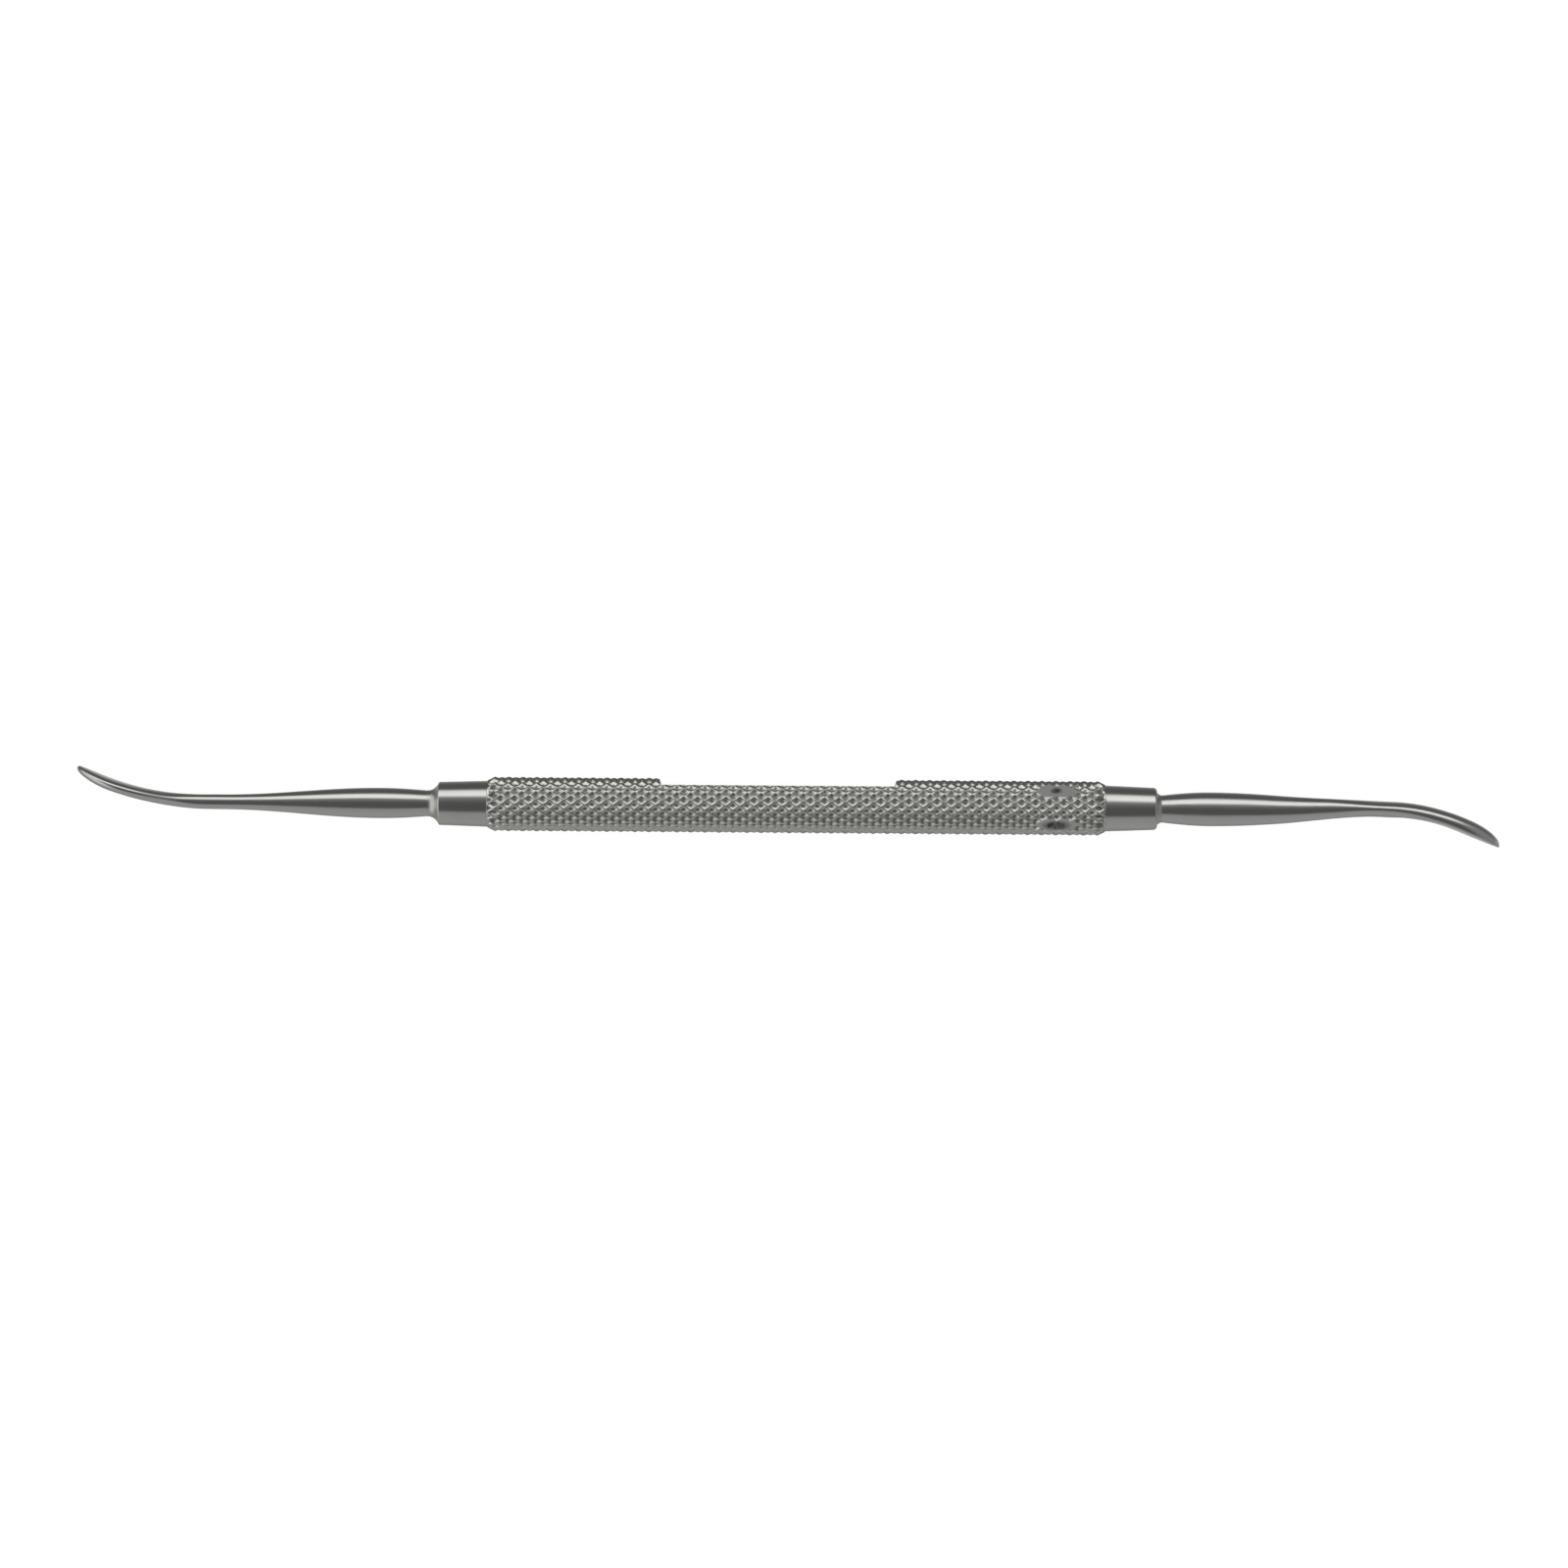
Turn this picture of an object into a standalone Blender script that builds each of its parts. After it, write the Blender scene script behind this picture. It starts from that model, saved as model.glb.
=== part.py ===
# Double-ended dental elevator with a knurled hollow handle, lying on its side.
#
# Both working ends curve in the XY plane: the left tip towards +Y, the right tip towards -Y.
# The handle runs along X. The origin is on the resting surface, under the middle of the overall length.
# A tube makes the handle. A ferrule seats on each of its ends, with a spigot in the bore. Each working
# end is one forging whose tang goes through a braze ring into its ferrule.

import math

import bmesh
import bpy
from mathutils import Vector

# Handle tube
HANDLE_LENGTH = 0.0737
HANDLE_DIAMETER = 0.0065          # over the knurl's crests
HANDLE_WALL = 0.00125
END_CHAMFER_LENGTH = 0.0006       # the knurl runs out on a short cone at each end
END_CHAMFER_DEPTH = 0.0003

# Flat milled along the +Y side of the handle
MILLED_FLAT_LENGTH = 0.0289
MILLED_FLAT_DEPTH = 0.0008
MILLED_FLAT_RAMP = 0.0005         # run-out of the cutter at each end
MILLED_FLAT_SHIFT = -0.0022       # from the handle's middle

# Two small marking flats near the right end of the handle
MARKING_FLAT_LENGTH = 0.00515
MARKING_FLAT_DEPTH = 0.00017
MARKING_FLAT_INSET = 0.0057       # from the handle's right end to the flats' middle
MARKING_FLAT_ANGLE = math.radians(42.0)

# Fits. The pieces are small and brazed up, so the clearances are small too.
PRESS_CLEARANCE = 0.00005         # radial, for the spigots and the tangs
SEAT_GAP = 0.00005                # axial, between a shoulder and what it seats on

# Ferrules
FERRULE_STEP = 0.0005             # how far a ferrule's big end stands below the knurl's crests
SPIGOT_LENGTH = 0.0080
SPIGOT_CHAMFER = 0.0003

# Working ends
TANG_STEP = 0.00045               # how far the tang stands below the neck
TANG_LENGTH = 0.0120              # inwards from the ferrule's front face
BLADE_CLEARANCE = 0.00005         # under a blade's edge, when the handle lies on a table
BLADE_WIDTH = HANDLE_DIAMETER - 2 * BLADE_CLEARANCE

LEFT = {
    "ferrule_length": 0.0059,     # the part that shows
    "ferrule_taper": 0.00016,     # radial, over that length
    "ferrule_corner": 0.00020,
    "braze_length": 0.00130,
    "braze_margin": 0.00010,      # of bare ferrule face round a hollow fillet
    "braze_bead": 0.0,            # height of a raised bead instead
    "neck_diameter": 0.00310,
    "bulge_diameter": 0.00363,
    "bulge_at": 0.0069,           # lengths along the end are from the ferrule's front face
    "waist_diameter": 0.00178,
    "waist_at": 0.0256,
    "bend_from": 0.0276,
    "bend_radius": 0.0350,
    "bend_angle": math.radians(23.0),
    "tip_straight": 0.0024,       # past the bend
    "blade_from": 0.0285,         # where the blade starts to widen
    "blade_width": BLADE_WIDTH,
    "blade_thickness": 0.00138,
    "face_flatness": 0.15,        # 0 keeps an even lens section, 1 makes the face fully flat
    "tip_rounding": 0.0060,       # length over which the blade's outline closes to the tip
    "nose_length": 0.0070,        # length over which the back curves down to the face at the tip
}

RIGHT = {
    "ferrule_length": 0.0062,
    "ferrule_taper": 0.00022,
    "ferrule_corner": 0.00038,
    "braze_length": 0.00060,
    "braze_margin": 0.00010,
    "braze_bead": 0.00020,
    "neck_diameter": 0.00325,
    "bulge_diameter": 0.00404,
    "bulge_at": 0.0063,
    "waist_diameter": 0.00180,
    "waist_at": 0.0285,
    "bend_from": 0.0283,
    "bend_radius": 0.0215,
    "bend_angle": math.radians(22.5),
    "tip_straight": 0.0051,
    "blade_from": 0.0205,
    "blade_width": BLADE_WIDTH,
    "blade_thickness": 0.00165,
    "face_flatness": 0.15,
    "tip_rounding": 0.0072,
    "nose_length": 0.0045,
}

# Facets
SIDES = 48                        # round every turned and forged piece, so that their facets line up
HALF_SIDE = math.pi / SIDES       # turns each polygon so that a facet, not a corner, faces down
ARC_STEPS = 6
SHANK_SPACING = 0.0013            # between the sections of a shank
TIP_SECTIONS = 10
LAST_TIP_TURN = math.radians(86)  # just short of 90, so that the last section still has an area
SHARP_EDGE = math.radians(40)

# Worked out from the values above
HANDLE_RADIUS = HANDLE_DIAMETER / 2
BORE_RADIUS = HANDLE_RADIUS - HANDLE_WALL
FERRULE_RADIUS = HANDLE_RADIUS - FERRULE_STEP
SPIGOT_RADIUS = BORE_RADIUS - PRESS_CLEARANCE
AXIS_HEIGHT = HANDLE_RADIUS * math.cos(HALF_SIDE)


def reach(end):
    """Length along X from the handle's end to the tip, where the back has come down to the face."""
    bend = end["bend_radius"] * math.sin(end["bend_angle"])
    past_bend = end["tip_straight"] * math.cos(end["bend_angle"])
    nose_drop = end["blade_thickness"] / 2 * math.sin(end["bend_angle"])
    return end["ferrule_length"] + end["bend_from"] + bend + past_bend - nose_drop


def tang_radius(end):
    return end["neck_diameter"] / 2 - TANG_STEP


OVERALL_LENGTH = HANDLE_LENGTH + reach(LEFT) + reach(RIGHT)
HANDLE_LEFT_X = reach(LEFT) - OVERALL_LENGTH / 2
HANDLE_RIGHT_X = HANDLE_LEFT_X + HANDLE_LENGTH
HANDLE_MIDDLE_X = (HANDLE_LEFT_X + HANDLE_RIGHT_X) / 2


# ---------------------------------------------------------------- scene

def clear_scene():
    for old in list(bpy.data.objects):
        bpy.data.objects.remove(old, do_unlink=True)


def new_collection(name):
    collection = bpy.data.collections.new(name)
    bpy.context.scene.collection.children.link(collection)
    return collection


def material(name, colour, roughness):
    steel = bpy.data.materials.new(name)
    steel.use_nodes = True
    shader = steel.node_tree.nodes["Principled BSDF"]
    shader.inputs["Base Color"].default_value = (*colour, 1.0)
    shader.inputs["Metallic"].default_value = 1.0
    shader.inputs["Roughness"].default_value = roughness
    return steel


def add_object(name, mesh, collection, parent, finish):
    piece = bpy.data.objects.new(name, mesh)
    collection.objects.link(piece)
    piece.parent = parent
    mesh.materials.append(finish)
    return piece


def side_frame(name, x, turn, collection):
    """An empty at a handle end whose local Z points outwards along the handle.

    Its local X points down. Both working ends bend towards its local -Y.
    """
    frame = bpy.data.objects.new(name, None)
    collection.objects.link(frame)
    frame.location = (x, 0, AXIS_HEIGHT)
    frame.rotation_euler = (0, math.pi / 2, turn)
    return frame


# ---------------------------------------------------------------- turned pieces

def arc(centre_radius, centre_z, radius_r, radius_z, start, end):
    """Points (radius, z) along an elliptical arc, angles in degrees."""
    angles = [math.radians(start + (end - start) * i / ARC_STEPS) for i in range(ARC_STEPS + 1)]
    return [(centre_radius + radius_r * math.cos(a), centre_z + radius_z * math.sin(a)) for a in angles]


def turned(name, outside, inside, collection, parent, finish):
    """A ring-shaped turned piece. Both profiles run from the outer end (high z) to the inner end."""
    loop = outside + inside[::-1]
    mesh = bpy.data.meshes.new(name)
    points = [(r * math.cos(HALF_SIDE), r * math.sin(HALF_SIDE), z) for r, z in loop]
    edges = [(i, (i + 1) % len(loop)) for i in range(len(loop))]
    mesh.from_pydata(points, edges, [])
    piece = add_object(name, mesh, collection, parent, finish)
    screw = piece.modifiers.new("Turn", "SCREW")
    screw.axis = "Z"
    screw.angle = math.tau
    screw.steps = SIDES
    screw.render_steps = SIDES
    screw.use_merge_vertices = True
    screw.merge_threshold = 0.000001
    return piece


def handle_tube(collection, cutters, parent, finish):
    """The frame is the right one, so z runs from -HANDLE_LENGTH at the left end to 0 at the right."""
    chamfered = HANDLE_RADIUS - END_CHAMFER_DEPTH
    outside = [
        (chamfered, 0),
        (HANDLE_RADIUS, -END_CHAMFER_LENGTH),
        (HANDLE_RADIUS, -HANDLE_LENGTH + END_CHAMFER_LENGTH),
        (chamfered, -HANDLE_LENGTH),
    ]
    inside = [(BORE_RADIUS, 0), (BORE_RADIUS, -HANDLE_LENGTH)]
    tube = turned("handle_tube", outside, inside, collection, parent, finish)
    cut(tube, milled_flat_cutter(cutters))
    for label, angle in (("upper", -MARKING_FLAT_ANGLE), ("lower", MARKING_FLAT_ANGLE)):
        cut(tube, marking_flat_cutter(label, angle, cutters))
    return tube


def ferrule(name, end, collection, parent, finish):
    length = end["ferrule_length"]
    corner = end["ferrule_corner"]
    front = FERRULE_RADIUS - end["ferrule_taper"]
    bore = tang_radius(end) + PRESS_CLEARANCE
    outside = arc(front - corner, length - corner, corner, corner, 90, 0)
    outside += [
        (FERRULE_RADIUS, SEAT_GAP),
        (SPIGOT_RADIUS, SEAT_GAP),
        (SPIGOT_RADIUS, SPIGOT_CHAMFER - SPIGOT_LENGTH),
        (SPIGOT_RADIUS - SPIGOT_CHAMFER, -SPIGOT_LENGTH),
    ]
    inside = [(bore, length), (bore, -SPIGOT_LENGTH)]
    return turned(name, outside, inside, collection, parent, finish)


def braze_ring(name, end, collection, parent, finish):
    """A hollow fillet, or a raised bead where the end has a bead height."""
    back = end["ferrule_length"] + SEAT_GAP
    front = end["ferrule_length"] + end["braze_length"] - SEAT_GAP
    neck = end["neck_diameter"] / 2
    bore = tang_radius(end) + PRESS_CLEARANCE
    if end["braze_bead"] > 0:
        half = (front - back) / 2
        outside = arc(neck, back + half, end["braze_bead"], half, 90, -90)
    else:
        face = FERRULE_RADIUS - end["ferrule_taper"] - end["ferrule_corner"]
        height = face - end["braze_margin"] - neck
        outside = arc(neck + height, front, height, front - back, 180, 270)
    inside = [(bore, front), (bore, back)]
    return turned(name, outside, inside, collection, parent, finish)


# ---------------------------------------------------------------- cuts in the handle

def cut(piece, cutter):
    boolean = piece.modifiers.new(cutter.name, "BOOLEAN")
    boolean.operation = "DIFFERENCE"
    boolean.solver = "EXACT"
    boolean.object = cutter


def flat_cutter(name, centre_x, length, depth, ramp, angle, collection):
    """A block over the handle whose underside leaves a flat. Its ends slope in by the ramp.

    The angle turns the flat about the handle's axis, from facing +Z.
    """
    mesh = bpy.data.meshes.new(name)
    work = bmesh.new()
    bmesh.ops.create_cube(work, size=1.0)
    floor = HANDLE_RADIUS - depth
    top = HANDLE_RADIUS + depth
    for corner in work.verts:
        low = corner.co.z < 0
        half_length = length / 2 - (ramp if low else -ramp)
        corner.co.x = math.copysign(half_length, corner.co.x)
        corner.co.y = math.copysign(HANDLE_RADIUS, corner.co.y)
        corner.co.z = floor if low else top
    work.to_mesh(mesh)
    work.free()
    cutter = bpy.data.objects.new(name, mesh)
    collection.objects.link(cutter)
    cutter.location = (centre_x, 0, AXIS_HEIGHT)
    cutter.rotation_euler = (angle, 0, 0)
    cutter.hide_render = True
    cutter.display_type = "WIRE"
    return cutter


def milled_flat_cutter(collection):
    centre_x = HANDLE_MIDDLE_X + MILLED_FLAT_SHIFT
    return flat_cutter("milled_flat", centre_x, MILLED_FLAT_LENGTH, MILLED_FLAT_DEPTH,
                       MILLED_FLAT_RAMP, -math.pi / 2, collection)


def marking_flat_cutter(label, angle, collection):
    centre_x = HANDLE_RIGHT_X - MARKING_FLAT_INSET
    return flat_cutter(label + "_marking_flat", centre_x, MARKING_FLAT_LENGTH, MARKING_FLAT_DEPTH,
                       0.0, angle, collection)


# ---------------------------------------------------------------- working ends

def ease(start, stop, fraction):
    """From start to stop along half a cosine wave."""
    fraction = min(max(fraction, 0.0), 1.0)
    return start + (stop - start) * (1 - math.cos(math.pi * fraction)) / 2


def path_length(end):
    return end["bend_from"] + end["bend_radius"] * end["bend_angle"] + end["tip_straight"]


def path_frame(end, distance):
    """Point on the end's centre line and the direction of the blade's back, in the side frame."""
    along_bend = min(max(distance - end["bend_from"], 0.0), end["bend_radius"] * end["bend_angle"])
    past_bend = distance - end["bend_from"] - along_bend if along_bend > 0 else 0.0
    turn = along_bend / end["bend_radius"]
    point = Vector((0, 0, end["ferrule_length"] + min(distance, end["bend_from"])))
    point.z += end["bend_radius"] * math.sin(turn) + past_bend * math.cos(turn)
    point.y -= end["bend_radius"] * (1 - math.cos(turn)) + past_bend * math.sin(turn)
    back = Vector((0, math.cos(turn), math.sin(turn)))
    return point, back


def thickness_at(end, distance):
    """Swells from the neck to the bulge, thins to the waist and the blade, and rounds off at the tip."""
    bulge_at = end["bulge_at"]
    waist_at = end["waist_at"]
    if distance <= bulge_at:
        fraction = (distance - end["braze_length"]) / (bulge_at - end["braze_length"])
        swell = end["bulge_diameter"] - end["neck_diameter"]
        return end["neck_diameter"] + swell * math.sin(math.pi / 2 * max(fraction, 0.0))
    if distance <= waist_at:
        fraction = (distance - bulge_at) / (waist_at - bulge_at)
        return ease(end["bulge_diameter"], end["waist_diameter"], fraction)
    nose_from = path_length(end) - end["nose_length"]
    fraction = (distance - waist_at) / (nose_from - waist_at)
    thickness = ease(end["waist_diameter"], end["blade_thickness"], fraction)
    if distance > nose_from:
        fraction = (distance - nose_from) / end["nose_length"]
        thickness *= math.sqrt(max(1 - fraction ** 2, 0.0))
    return thickness


def section(end, distance):
    """Thickness, width and face flatness at a distance from the ferrule's front face."""
    thickness = thickness_at(end, distance)
    blade_from = end["blade_from"]
    if distance <= blade_from:
        return thickness, thickness, 0.0
    widest_at = path_length(end) - end["tip_rounding"]
    fraction = (distance - blade_from) / (widest_at - blade_from)
    flatness = ease(0.0, end["face_flatness"], fraction)
    width = ease(thickness_at(end, blade_from), end["blade_width"], fraction)
    if distance > widest_at:
        fraction = (distance - widest_at) / end["tip_rounding"]
        width *= math.sqrt(max(1 - fraction ** 2, 0.0))
    return thickness, width, flatness


def section_ring(end, distance, thickness, width, flatness):
    """Points round one section. The face is on the inside of the bend, the back on the outside."""
    point, back = path_frame(end, distance)
    if distance > path_length(end) - end["nose_length"]:
        point -= back * (end["blade_thickness"] - thickness) / 2
    ring = []
    for i in range(SIDES):
        angle = HALF_SIDE + math.tau * i / SIDES
        height = math.sin(angle)
        half = thickness / 2
        if height > 0:
            lift = half * ((1 + flatness) * height - flatness)
        else:
            lift = half * ((1 - flatness) * height - flatness)
        ring.append(point + Vector((width / 2 * math.cos(angle), 0, 0)) + back * lift)
    return ring


def section_distances(end):
    """Evenly spaced along the shank, then closer and closer towards the tip."""
    start = end["braze_length"] + SEAT_GAP
    tip = path_length(end)
    rounding_from = tip - end["tip_rounding"]
    count = math.ceil((rounding_from - start) / SHANK_SPACING)
    distances = [start + (rounding_from - start) * i / count for i in range(count)]
    for i in range(TIP_SECTIONS):
        turn = LAST_TIP_TURN * i / (TIP_SECTIONS - 1)
        distances.append(rounding_from + end["tip_rounding"] * math.sin(turn))
    return distances


def working_end(name, end, collection, parent, finish):
    """Tang, shank and blade lofted as one forging."""
    tang = 2 * tang_radius(end)
    shoulder = end["braze_length"] + SEAT_GAP
    rings = [section_ring(end, -TANG_LENGTH, tang, tang, 0.0),
             section_ring(end, shoulder, tang, tang, 0.0)]
    for distance in section_distances(end):
        rings.append(section_ring(end, distance, *section(end, distance)))

    work = bmesh.new()
    loops = [[work.verts.new(p) for p in ring] for ring in rings]
    for inner, outer in zip(loops, loops[1:]):
        for i in range(SIDES):
            j = (i + 1) % SIDES
            work.faces.new((inner[i], inner[j], outer[j], outer[i]))
    work.faces.new(loops[0][::-1])
    work.faces.new(loops[-1])
    bmesh.ops.recalc_face_normals(work, faces=work.faces)
    mesh = bpy.data.meshes.new(name)
    work.to_mesh(mesh)
    work.free()
    mesh.shade_smooth()
    mesh.set_sharp_from_angle(angle=SHARP_EDGE)
    return add_object(name, mesh, collection, parent, finish)


# ---------------------------------------------------------------- assembly

clear_scene()
parts = new_collection("dental_elevator")
cutters = new_collection("cutters")

knurled_steel = material("knurled_steel", (0.52, 0.52, 0.50), 0.34)
satin_steel = material("satin_steel", (0.58, 0.58, 0.56), 0.26)
ground_steel = material("ground_steel", (0.60, 0.60, 0.59), 0.22)
braze_alloy = material("braze_alloy", (0.62, 0.61, 0.58), 0.30)

left_frame = side_frame("left_frame", HANDLE_LEFT_X, math.pi, parts)
right_frame = side_frame("right_frame", HANDLE_RIGHT_X, 0.0, parts)

handle_tube(parts, cutters, right_frame, knurled_steel)
for side, end, frame in (("left", LEFT, left_frame), ("right", RIGHT, right_frame)):
    ferrule(side + "_ferrule", end, parts, frame, satin_steel)
    braze_ring(side + "_braze_ring", end, parts, frame, braze_alloy)
    working_end(side + "_working_end", end, parts, frame, ground_steel)
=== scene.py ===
# Double-ended dental elevator lying on its side: a knurled hollow handle, a ferrule in each end of it, and
# two forged and ground blades, brazed in, that curve opposite ways. Metres, +Z up, X along the handle.
import math

import bmesh
import bpy
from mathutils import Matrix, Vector


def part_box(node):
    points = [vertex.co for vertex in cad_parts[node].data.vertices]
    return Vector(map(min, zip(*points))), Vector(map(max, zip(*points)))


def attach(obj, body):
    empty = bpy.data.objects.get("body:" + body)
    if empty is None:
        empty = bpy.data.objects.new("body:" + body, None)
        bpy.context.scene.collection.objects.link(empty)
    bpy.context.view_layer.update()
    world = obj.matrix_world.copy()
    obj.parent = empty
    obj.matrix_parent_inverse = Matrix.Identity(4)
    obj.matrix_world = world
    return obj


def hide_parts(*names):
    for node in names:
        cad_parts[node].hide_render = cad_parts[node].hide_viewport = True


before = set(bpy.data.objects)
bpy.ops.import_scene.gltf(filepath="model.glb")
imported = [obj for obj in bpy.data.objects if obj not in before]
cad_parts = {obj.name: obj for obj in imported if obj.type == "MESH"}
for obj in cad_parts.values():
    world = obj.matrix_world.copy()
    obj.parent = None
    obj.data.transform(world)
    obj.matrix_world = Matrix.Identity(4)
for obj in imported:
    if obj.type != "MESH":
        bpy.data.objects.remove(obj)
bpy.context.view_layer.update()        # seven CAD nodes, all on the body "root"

mm = 0.001

# Where the CAD puts the handle. Its axis runs along X at axisHeight.
tubeLow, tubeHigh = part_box("handle_tube")
axisHeight = (tubeLow.z + tubeHigh.z) / 2
crestRadius = (tubeHigh.z - tubeLow.z) / 2
handleEnd = {"left": tubeLow.x, "right": tubeHigh.x}


def onSide(side, x):
    # distance outwards along X from the handle's end on that side
    return handleEnd["left"] - x if side == "left" else x - handleEnd["right"]


ferruleFront = {
    "left": onSide("left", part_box("left_ferrule")[0].x),
    "right": onSide("right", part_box("right_ferrule")[1].x),
}
tipReach = {
    "left": onSide("left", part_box("left_working_end")[0].x),
    "right": onSide("right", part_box("right_working_end")[1].x),
}


# Picking up, selecting and finishing

def takeUp(piece):
    for other in list(bpy.context.selected_objects):
        other.select_set(False)
    if piece:
        piece.select_set(True)
        bpy.context.view_layer.objects.active = piece


def begin(name):
    # names the primitive just added, puts its place into its mesh and opens it for editing
    piece = bpy.context.object
    piece.name = name
    piece.data.name = name
    bpy.ops.object.transform_apply(location=True, rotation=True, scale=True)
    bpy.ops.object.mode_set(mode="EDIT")
    bpy.ops.mesh.select_mode(type="VERT")
    return piece


def pick(piece, kind, test):
    bpy.ops.mesh.select_mode(type=kind)
    bpy.ops.mesh.select_all(action="DESELECT")
    mesh = bmesh.from_edit_mesh(piece.data)
    for part in {"VERT": mesh.verts, "EDGE": mesh.edges, "FACE": mesh.faces}[kind]:
        if test(part):
            part.select_set(True)
    mesh.select_flush_mode()
    bmesh.update_edit_mesh(piece.data)


def closeUp(piece, smoothAngle, merge=0.0005 * mm):
    # welds what meets, turns the faces outwards and leaves edit mode
    bpy.ops.mesh.select_all(action="SELECT")
    bpy.ops.mesh.remove_doubles(threshold=merge)
    bpy.ops.mesh.normals_make_consistent(inside=False)
    bpy.ops.object.mode_set(mode="OBJECT")
    takeUp(piece)
    bpy.ops.object.shade_smooth_by_angle(angle=math.radians(smoothAngle))


def applyModifiers(piece):
    takeUp(piece)
    for modifier in list(piece.modifiers):
        bpy.ops.object.modifier_apply(modifier=modifier.name)


def moveToSide(piece, side):
    # pieces at the ends are made pointing along +X from the handle's end; the left ones are turned round
    takeUp(piece)
    piece.rotation_euler.z = math.pi if side == "left" else 0.0
    piece.location = (handleEnd[side], 0, axisHeight)
    bpy.ops.object.transform_apply(location=True, rotation=True, scale=True)


def handOver(piece, node):
    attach(piece, "root")
    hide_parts(node)


# Materials

def linear(hexCode):
    channels = [int(hexCode[i:i + 2], 16) / 255 for i in (1, 3, 5)]
    return [c / 12.92 if c <= 0.04045 else ((c + 0.055) / 1.055) ** 2.4 for c in channels] + [1.0]


def add(tree, kind, settings=None, **links):
    # settings name a socket or a property of the node; links give a socket's source
    node = tree.nodes.new(kind)
    for name, value in (settings or {}).items():
        if isinstance(name, int) or name in node.inputs:
            node.inputs[name].default_value = value
        else:
            setattr(node, name, value)
    for name, source in links.items():
        socket = int(name[1:]) if name[0] == "i" and name[1:].isdigit() else name.replace("_", " ")
        tree.links.new(source, node.inputs[socket])
    return node


def newMetal(name, colour, roughness):
    metal = bpy.data.materials.new(name)
    metal.use_nodes = True
    tree = metal.node_tree
    shader = tree.nodes["Principled BSDF"]
    shader.inputs["Base Color"].default_value = linear(colour)
    shader.inputs["Metallic"].default_value = 1.0
    shader.inputs["Roughness"].default_value = roughness
    return metal, tree, shader


def grain(tree, place, size, detail=2.0):
    # noise whose grains are size = (x, y, z) metres long
    spread = add(tree, "ShaderNodeMapping", {"Scale": [1 / s for s in size]}, Vector=place)
    return add(tree, "ShaderNodeTexNoise", {"Scale": 1.0, "Detail": detail}, Vector=spread.outputs[0])


def between(tree, source, low, high, fromLow=0.3, fromHigh=0.7):
    limits = {"From Min": fromLow, "From Max": fromHigh, "To Min": low, "To Max": high}
    return add(tree, "ShaderNodeMapRange", limits, Value=source).outputs[0]


def rollPitSteel():
    # Stainless steel with a form-rolled knurl, blasted afterwards. The walls and floors of the pits keep the
    # matt grey skin, which spreads the light and leaves them an even mid grey.
    metal, tree, shader = newMetal("blastedPitSteel", "#9c9c97", 0.55)
    place = add(tree, "ShaderNodeTexCoord").outputs["Object"]
    # the blasting leaves dents of 0.05 mm, drawn at 0.12 mm so that they show
    dents = grain(tree, place, (0.12 * mm,) * 3, 3.0)
    rough = between(tree, dents.outputs["Fac"], 0.46, 0.64)
    tree.links.new(rough, shader.inputs["Roughness"])
    bump = add(tree, "ShaderNodeBump", {"Strength": 0.6, "Distance": 0.03 * mm},
               Height=dents.outputs["Fac"])
    tree.links.new(bump.outputs[0], shader.inputs["Normal"])
    return metal


def rubCrestSteel():
    # The crests between the pits and the walls below them, burnished by the rolls and rubbed by handling:
    # thin bright lines that sparkle unevenly from their nicks.
    metal, tree, shader = newMetal("rubbedCrestSteel", "#d2d2cd", 0.20)
    place = add(tree, "ShaderNodeTexCoord").outputs["Object"]
    nicks = grain(tree, place, (0.2 * mm,) * 3, 2.0)
    rough = between(tree, nicks.outputs["Fac"], 0.15, 0.27)
    tree.links.new(rough, shader.inputs["Roughness"])
    bump = add(tree, "ShaderNodeBump", {"Strength": 0.6, "Distance": 0.045 * mm},
               Height=nicks.outputs["Fac"])
    tree.links.new(bump.outputs[0], shader.inputs["Normal"])
    return metal


def millFlatSteel():
    # The long flat is milled and then tumbled: faint cutter lines across it, softened.
    metal, tree, shader = newMetal("milledSteel", "#c4c4bf", 0.28)
    place = add(tree, "ShaderNodeTexCoord").outputs["Object"]
    lines = grain(tree, place, (0.10 * mm, 2 * mm, 6 * mm))
    rough = between(tree, lines.outputs["Fac"], 0.24, 0.36)
    tree.links.new(rough, shader.inputs["Roughness"])
    bump = add(tree, "ShaderNodeBump", {"Strength": 0.4, "Distance": 0.004 * mm},
               Height=lines.outputs["Fac"])
    tree.links.new(bump.outputs[0], shader.inputs["Normal"])
    return metal


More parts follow.
